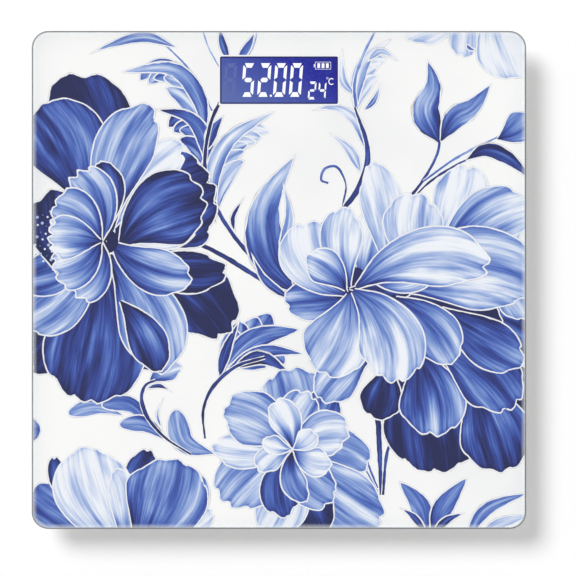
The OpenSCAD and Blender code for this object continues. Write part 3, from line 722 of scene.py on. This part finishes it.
def ink_skin():
    """Painted blue ink: streaks that follow each petal's veins, and a pale line along its edge."""
    s = Shader("print_ink")
    flow = s.attribute("flow", "Vector")
    edge = s.attribute("edge")
    tone = s.attribute("tone")
    broad = s.noise(flow, 1.0, 2.0, stretch=(0.022, 0.16, 1.0))
    brush = s.noise(flow, 1.0, 3.0, 0.6, stretch=(0.03, 0.55, 1.0))
    hair = s.noise(flow, 1.0, 2.0, 0.6, stretch=(0.06, 1.9, 1.0))
    value = tone
    for source, share in ((broad, 1.15), (brush, 0.56), (hair, 0.28)):
        value = s.math("MULTIPLY_ADD", s.math("SUBTRACT", source, 0.5), share, value)
    inside = s.step(edge, 0.8, 3.5)
    value = s.math("SUBTRACT", value, s.math("MULTIPLY", s.flipped(inside), 0.10))
    stops = [
        (0.00, srgb(30, 36, 84)), (0.12, srgb(38, 48, 112)), (0.26, srgb(50, 70, 152)),
        (0.42, srgb(76, 106, 188)), (0.58, srgb(122, 150, 212)), (0.74, srgb(176, 194, 233)),
        (0.88, srgb(220, 228, 246)), (1.00, srgb(244, 246, 252)),
    ]
    blue = s.ramp(value, stops)
    wobble = s.noise(s.place(), 220.0, 2.0)
    outline = s.math("ADD", edge, s.math("MULTIPLY", s.math("SUBTRACT", wobble, 0.5), 0.9))
    line = s.mix(s.step(outline, 0.1, 0.45), srgb(222, 219, 222), srgb(250, 251, 254))
    shade = s.mix(s.step(outline, 0.62, 0.98), line, blue)
    return s.surface(s.principled(Base_Color=shade, Roughness=0.5, Specular_IOR_Level=0.2))


def ink_piece(name, patches, base, step, mat):
    """One mesh from a motif's patches, trimmed to the film."""
    points, faces, values = [], [], {"flow": [], "edge": [], "tone": []}
    start = 0
    for patch in patches:
        rows, columns = patch.grid.shape[:2]
        flat = patch.grid.reshape(-1, 2) * MM
        # a petal rises towards its tip and stays below the next level
        tilt = np.repeat(np.linspace(0, 0.6, rows), columns)
        points.append(np.column_stack([flat, base + step * (patch.level + tilt)]))
        i = np.arange(rows * columns).reshape(rows, columns) + start
        quads = np.stack([i[:-1, :-1], i[1:, :-1], i[1:, 1:], i[:-1, 1:]], -1).reshape(-1, 4)
        # every face looks up
        a, b, d = flat[quads[0] - start][[0, 1, 3]]
        if (b[0] - a[0]) * (d[1] - a[1]) - (b[1] - a[1]) * (d[0] - a[0]) < 0:
            quads = quads[:, ::-1]
        faces.append(quads)
        along, across = patch.along.ravel(), patch.across.ravel()
        values["flow"].append(np.column_stack([along, across, 0 * along]))
        values["edge"].append(patch.edge.ravel())
        values["tone"].append(patch.tone.ravel())
        start += rows * columns
    mesh = bpy.data.meshes.new(name)
    mesh.from_pydata(np.concatenate(points).tolist(), [], np.concatenate(faces).tolist())
    for key, parts in values.items():
        data = np.concatenate(parts).astype(np.float32)
        kind, slot = ("FLOAT_VECTOR", "vector") if data.ndim == 2 else ("FLOAT", "value")
        mesh.attributes.new(key, kind, "POINT").data.foreach_set(slot, data.ravel())
    trim(mesh)
    mesh.materials.append(mat)
    piece = bpy.data.objects.new(name, mesh)
    bpy.context.scene.collection.objects.link(piece)
    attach(piece, ROOT)
    return piece


def outline_planes(half_w, half_d, r):
    """Points and outward directions of the lines round a rounded rectangle."""
    segments = 6
    planes = [((half_w, 0), (1, 0)), ((-half_w, 0), (-1, 0)),
              ((0, half_d), (0, 1)), ((0, -half_d), (0, -1))]
    for sx in (-1, 1):
        for sy in (-1, 1):
            for k in range(segments):
                turn = (k + 0.5) / segments * math.pi / 2
                out = (sx * math.cos(turn), sy * math.sin(turn))
                centre = (sx * (half_w - r), sy * (half_d - r))
                planes.append(((centre[0] + r * out[0], centre[1] + r * out[1]), out))
    return planes


def cut(bm, faces, spot, out, **how):
    """Cuts some faces along the plane through spot, across the direction out."""
    edges, corners = (e for f in faces for e in f.edges), (v for f in faces for v in f.verts)
    # a dict keeps each once and in order, while a set's order would change from run to run
    parts = list(dict.fromkeys([*faces, *edges, *corners]))
    bmesh.ops.bisect_plane(bm, geom=parts, plane_co=spot, plane_no=out, dist=1e-8, **how)


def trim(mesh):
    """Cuts a flat mesh to the film's outline, and clear of the display's white-bordered window."""
    bm = bmesh.new()
    bm.from_mesh(mesh)
    margin, slack = 0.1 * MM, 1e-7
    film_r = CORNER_R - (GLASS_HIGH.x - FILM_HIGH.x)
    for spot, out in outline_planes(FILM_HIGH.x - margin, FILM_HIGH.y - margin, film_r):
        spot, out = Vector((*spot, 0)), Vector((*out, 0))
        near = [f for f in bm.faces if max((v.co - spot).dot(out) for v in f.verts) > -slack]
        cut(bm, near, spot, out, clear_outer=True)
    border = Vector((0.8 * MM, 0.8 * MM))
    low, high = WINDOW[0] - border, WINDOW[1] + border
    reach = 0.5 * MM
    for spot, out in (((low.x, 0, 0), (-1, 0, 0)), ((high.x, 0, 0), (1, 0, 0)),
                      ((0, low.y, 0), (0, -1, 0)), ((0, high.y, 0), (0, 1, 0))):
        near = [f for f in bm.faces if touches(f, low, high, reach)]
        cut(bm, near, Vector(spot), Vector(out))
    inside = [f for f in bm.faces
              if touches(f, low, high, 0) and within(f.calc_center_median(), low, high)]
    bmesh.ops.delete(bm, geom=inside, context="FACES")
    loose = [v for v in bm.verts if not v.link_faces]
    bmesh.ops.delete(bm, geom=loose, context="VERTS")
    bm.to_mesh(mesh)
    bm.free()


def within(point, low, high):
    return low.x < point.x < high.x and low.y < point.y < high.y


def touches(face, low, high, reach):
    xs = [v.co.x for v in face.verts]
    ys = [v.co.y for v in face.verts]
    return (max(xs) > low.x - reach and min(xs) < high.x + reach
            and max(ys) > low.y - reach and min(ys) < high.y + reach)


# ---------------------------------------------------------------- display

LCD_LOW, LCD_HIGH = (Vector(c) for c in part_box("lcd_panel"))
LCD_MID = (LCD_LOW + LCD_HIGH) / 2
WINDOW_W, WINDOW_D = 67 * MM, 27 * MM
WINDOW = (Vector((-WINDOW_W / 2, LCD_MID.y - WINDOW_D / 2)),
          Vector((WINDOW_W / 2, LCD_MID.y + WINDOW_D / 2)))
SEGMENTS = {"0": "abcdef", "2": "abged", "4": "fgbc", "5": "afgcd", "8": "abcdefg"}


def lcd_skin():
    """The lit display: slate blue at the lower left, deep blue at the upper right, dark margin."""
    s = Shader("lcd_ground")
    at = s.place()
    parts = s.node("SeparateXYZ", {"Vector": at})
    across = s.share_of(parts.outputs[0], WINDOW[0].x, WINDOW[1].x)
    up = s.share_of(parts.outputs[1], WINDOW[0].y, WINDOW[1].y)
    glow = s.math("MULTIPLY_ADD", across, 0.62, s.math("MULTIPLY", up, 0.38))
    colour = s.ramp(glow, [(0.0, srgb(94, 113, 175)), (0.35, srgb(70, 87, 168)),
                           (0.7, srgb(24, 32, 152)), (1.0, srgb(0, 0, 134))])
    gaps = []
    for axis, (low, high) in ((0, (WINDOW[0].x, WINDOW[1].x)), (1, (WINDOW[0].y, WINDOW[1].y))):
        middle = (low + high) / 2
        reach = s.math("ABSOLUTE", s.math("SUBTRACT", parts.outputs[axis], middle))
        gaps.append(s.math("SUBTRACT", (high - low) / 2, reach))
    rim = s.step(s.math("MINIMUM", *gaps), 0.5 * MM, 1.2 * MM)
    mottle = s.math("MULTIPLY", s.step(s.noise(at, 420.0, 3.0), 0.45, 0.75), 0.12)
    colour = s.mix(mottle, colour, srgb(104, 122, 188))
    lit = s.mix(rim, srgb(24, 26, 96), colour)
    return s.surface(s.principled(
        Base_Color=srgb(10, 12, 40), Roughness=0.2, Emission_Color=lit, Emission_Strength=0.95,
        Specular_IOR_Level=0.2))


def digit_skin(name, colour, strength):
    """A glowing display segment with a faint dot pattern."""
    s = Shader(name)
    dots = s.noise(s.place(), 900.0, 2.0)
    shade = s.mix(s.step(dots, 0.3, 0.8), colour, scaled(colour, 0.93))
    return s.surface(s.principled(
        Base_Color=scaled(colour, 0.1), Roughness=0.4, Emission_Color=shade,
        Emission_Strength=strength))


class Glyphs:
    """Flat polygons of one colour on the display's glass, in millimetres."""

    SIDES = 20  # straight sides of a round spot or ring

    def __init__(self, slant):
        self.verts, self.faces = [], []
        self.slant = math.tan(math.radians(slant))

    def polygon(self, points, lean_from=None):
        """Adds one polygon. Above the height lean_from it leans with the slant."""
        start = len(self.verts)
        for x, y in points:
            lean = self.slant * (y - lean_from) if lean_from is not None else 0
            self.verts.append((x + lean, y))
        self.faces.append(list(range(start, len(self.verts))))

    def segment_digit(self, x, y, w, h, stroke, shown, gap=0.28):
        """One seven-segment digit with its lower left corner at (x, y)."""
        bar = stroke * 1.4
        mid = h / 2
        half = bar * 0.48
        outer, inner, end = stroke * 0.45, stroke + gap * 0.5, stroke + gap
        point = stroke * 0.5 + gap
        outlines = {
            "a": [(outer, h), (w - outer, h), (w - inner, h - bar), (inner, h - bar)],
            "d": [(outer, 0), (inner, bar), (w - inner, bar), (w - outer, 0)],
            "g": [(point, mid), (end, mid - half), (w - end, mid - half),
                  (w - point, mid), (w - end, mid + half), (end, mid + half)],
        }
        upright = [(0, mid + gap), (0, h - bar * 0.55), (stroke * 0.2, h - bar * 0.5),
                   (stroke * 0.9, h - bar - gap), (stroke * 0.9, mid + half + gap)]
        outlines["f"] = upright
        outlines["e"] = [(px, h - py) for px, py in upright]
        outlines["b"] = [(w - px, py) for px, py in upright]
        outlines["c"] = [(w - px, h - py) for px, py in upright]
        for key in shown:
            self.polygon([(x + px, y + py) for px, py in outlines[key]], y)

    def disc(self, x, y, r):
        turns = [2 * math.pi * k / self.SIDES for k in range(self.SIDES)]
        self.polygon([(x + r * math.cos(t), y + r * math.sin(t)) for t in turns])

    def arc(self, x, y, inner, outer, turns, tall=1.0):
        """A bent band between two radii, through a row of angles. tall stretches it upwards."""
        for a, b in zip(turns, turns[1:]):
            self.polygon([(x + r * math.cos(t), y + tall * r * math.sin(t))
                          for r, t in ((inner, a), (outer, a), (outer, b), (inner, b))])

    def box(self, x0, y0, x1, y1):
        self.polygon([(x0, y0), (x1, y0), (x1, y1), (x0, y1)])

    def piece(self, name, height, mat, slot):
        """One flat mesh of all the polygons, looking up."""
        mesh = bpy.data.meshes.new(name)
        mesh.from_pydata([(x * MM, y * MM, height) for x, y in self.verts], [], self.faces)
        bm = bmesh.new()
        bm.from_mesh(mesh)
        for f in bm.faces:
            f.normal_update()
            if f.normal.z < 0:
                f.normal_flip()
        bm.to_mesh(mesh)
        bm.free()
        mesh.materials.append(mat)
        made = bpy.data.objects.new(name, mesh)
        bpy.context.scene.collection.objects.link(made)
        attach(made, ROOT)
        return made


def draw_display():
    """The weight, the temperature and the battery symbol, in millimetres."""
    base_y = LCD_MID.y / MM - 9.4
    slant = 4.5
    large, small = (6.8, 19.1, 1.85), (4.3, 10.2, 1.0)  # width, height and stroke of a figure
    lit = Glyphs(slant)
    for x, figure in ((-21.6, "5"), (-12.5, "2"), (-3.5, "0"), (5.5, "0")):
        lit.segment_digit(x, base_y, *large, SEGMENTS[figure])
    lit.disc(-4.6, base_y + 0.6, 0.65)  # decimal point
    small_y = base_y - 1.5
    for x, figure in ((16.3, "2"), (22.0, "4")):
        lit.segment_digit(x, small_y, *small, SEGMENTS[figure], 0.2)
    degree_sign = [2 * math.pi * k / Glyphs.SIDES for k in range(Glyphs.SIDES + 1)]
    lit.arc(27.5, small_y + 12.1, 0.4, 0.6, degree_sign)
    letter_c = [math.radians(48 + 264 * k / 14) for k in range(15)]
    lit.arc(29.8, small_y + 10.2, 1.25, 1.75, letter_c, 1.12)
    # battery symbol: nub, frame and three bars
    left, low = 20.6, base_y + 15.6
    long, tall, line = 8.9, 4.22, 0.22
    lit.box(left - 0.8, low + 1.2, left - 0.3, low + 3.0)
    for y in (low, low + tall - line):
        lit.box(left, y, left + long, y + line)
    for x in (left, left + long - line):
        lit.box(x, low + line, x + line, low + tall - line)
    for k in range(3):
        bar = left + 1.2 + 2.45 * k
        lit.box(bar, low + 0.8, bar + 1.55, low + 3.4)
    dark = Glyphs(slant)
    dark.segment_digit(-32.0, base_y, *large, SEGMENTS["8"])
    above = LCD_HIGH.z
    dark.piece("display_unlit_digit", above + 0.02 * MM,
               digit_skin("unlit_segment", srgb(80, 96, 164), 0.95), "lcd_glass")
    lit.piece("display_digits", above + 0.03 * MM,
              digit_skin("lit_segment", srgb(252, 253, 255), 1.0), "lcd_glass")


# ---------------------------------------------------------------- putting it together


def draw_print():
    """All the ink, in painting order, in the gap between film and glass."""
    art = Artist()
    draw_leaves(art)
    draw_small_flowers(art)
    draw_right_flower(art)
    draw_left_flower(art)
    gap = GLASS_LOW.z - FILM_HIGH.z
    deepest = max(p.level for patches in art.motifs.values() for p in patches)
    clear_below, filled = 0.03, 0.9  # shares of the gap
    step = filled * gap / (deepest + 1)
    ink = ink_skin()
    for name, patches in art.motifs.items():
        ink_piece(name, patches, FILM_HIGH.z + clear_below * gap, step, ink)


def paint_cad():
    white = moulded("white_abs", srgb(236, 236, 233))
    black = moulded("black_abs", srgb(30, 30, 32), 0.5)
    paint(glass_skin(), "glass_platform")
    paint(film_skin(), "printed_film")
    paint(white, "base_tray", "battery_door", "display_holder")
    paint(foam("tape_foam", srgb(205, 205, 200)), "perimeter_tape")
    paint(foam("black_foam", srgb(26, 26, 28)), "display_gasket")
    steel = metal("plated_steel", srgb(196, 197, 198))
    glue = moulded("gauge_glue", srgb(232, 228, 214), 0.35, 2 * MM)
    pad = rubber("grey_rubber", srgb(92, 93, 96))
    for corner in CORNERS:
        paint(steel, "load_cell_" + corner)
        paint(black, "cell_bracket_" + corner)
        paint(glue, "strain_gauge_" + corner)
        paint(white, "foot_cap_" + corner)
        paint(pad, "foot_pad_" + corner)
    paint(lcd_skin(), "lcd_panel")
    paint(moulded("light_guide", srgb(70, 92, 190), 0.2), "backlight")
    paint(zebra_skin(), "display_connector")
    paint(board_skin(), "main_board")
    paint(moulded("chip_resin", srgb(20, 20, 22), 0.25, 3 * MM), "chip_cover")
    paint(moulded("ceramic", srgb(168, 132, 92), 0.5), "board_capacitors", "temperature_sensor")
    paint(metal("drawn_can", srgb(210, 210, 212), 0.2), "crystal")
    paint(metal("zinc", srgb(205, 207, 210), 0.22), "board_screws")
    paint(black, "switch_body")
    paint(moulded("switch_stem", srgb(214, 200, 160), 0.4), "switch_plunger")
    paint(moulded("button_grey", srgb(176, 178, 182), 0.4), "unit_button")
    paint(battery_skin(), "battery_rear", "battery_front")
    nickel = metal("nickel", srgb(206, 202, 192), 0.18)
    paint(nickel, "contact_negative", "contact_positive", "contact_bridge", "contact_springs")
    paint(wire_skin("red_pvc", srgb(186, 34, 34)), "cell_wires_red", "battery_wire_red")
    paint(wire_skin("white_pvc", srgb(236, 236, 232)), "cell_wires_white")
    paint(wire_skin("black_pvc", srgb(28, 28, 30)), "cell_wires_black", "battery_wire_black")


def build_stage():
    """A plain pale floor, a soft key light from the upper left and an even white surround."""
    scene = bpy.context.scene
    size = 6.0
    mesh = bpy.data.meshes.new("floor")
    corners = [(-size, -size, 0), (size, -size, 0), (size, size, 0), (-size, size, 0)]
    mesh.from_pydata(corners, [], [(0, 1, 2, 3)])
    floor = bpy.data.objects.new("floor", mesh)
    scene.collection.objects.link(floor)
    s = Shader("floor")
    mesh.materials.append(s.surface(s.principled(
        Base_Color=(0.9, 0.9, 0.9, 1), Roughness=0.9, Specular_IOR_Level=0.1,
        Emission_Color=(1, 1, 1, 1), Emission_Strength=0.1)))

    # the surround lights the scene at about half the strength of the white backdrop that is seen
    world = bpy.data.worlds.new("surround")
    world.use_nodes = True
    nodes, links = world.node_tree.nodes, world.node_tree.links
    fill, backdrop = nodes["Background"], nodes.new("ShaderNodeBackground")
    share = nodes.new("ShaderNodeMixShader")
    for shader, strength in ((fill, 0.51), (backdrop, 1.0)):
        shader.inputs["Color"].default_value = (1, 1, 1, 1)
        shader.inputs["Strength"].default_value = strength
    links.new(nodes.new("ShaderNodeLightPath").outputs["Is Camera Ray"], share.inputs[0])
    links.new(fill.outputs[0], share.inputs[1])
    links.new(backdrop.outputs[0], share.inputs[2])
    links.new(share.outputs[0], nodes["World Output"].inputs["Surface"])
    scene.world = world

    sun = bpy.data.lights.new("key", "SUN")
    sun.energy = 2.13
    sun.angle = math.radians(26)
    key = bpy.data.objects.new("key", sun)
    key.rotation_euler = Vector((-0.67, 0.67, 1.0)).to_track_quat("Z", "Y").to_euler()
    scene.collection.objects.link(key)
    scene.view_settings.view_transform = "Standard"
    scene.view_settings.look = "None"


def build_camera():
    """Straight above, a little right of and in front of the platform's middle."""
    view_side = 0.3261  # side of the square seen at the glass's top
    height = 2.0
    sideways, forwards = 0.00513, -0.00457
    data = bpy.data.cameras.new("camera")
    data.sensor_width = 36
    above_glass = height - GLASS_HIGH.z
    data.lens = data.sensor_width * above_glass / view_side
    camera = bpy.data.objects.new("camera", data)
    camera.location = (sideways, forwards, height)
    bpy.context.scene.collection.objects.link(camera)
    bpy.context.scene.camera = camera


paint_cad()
draw_print()
draw_display()
build_stage()
build_camera()
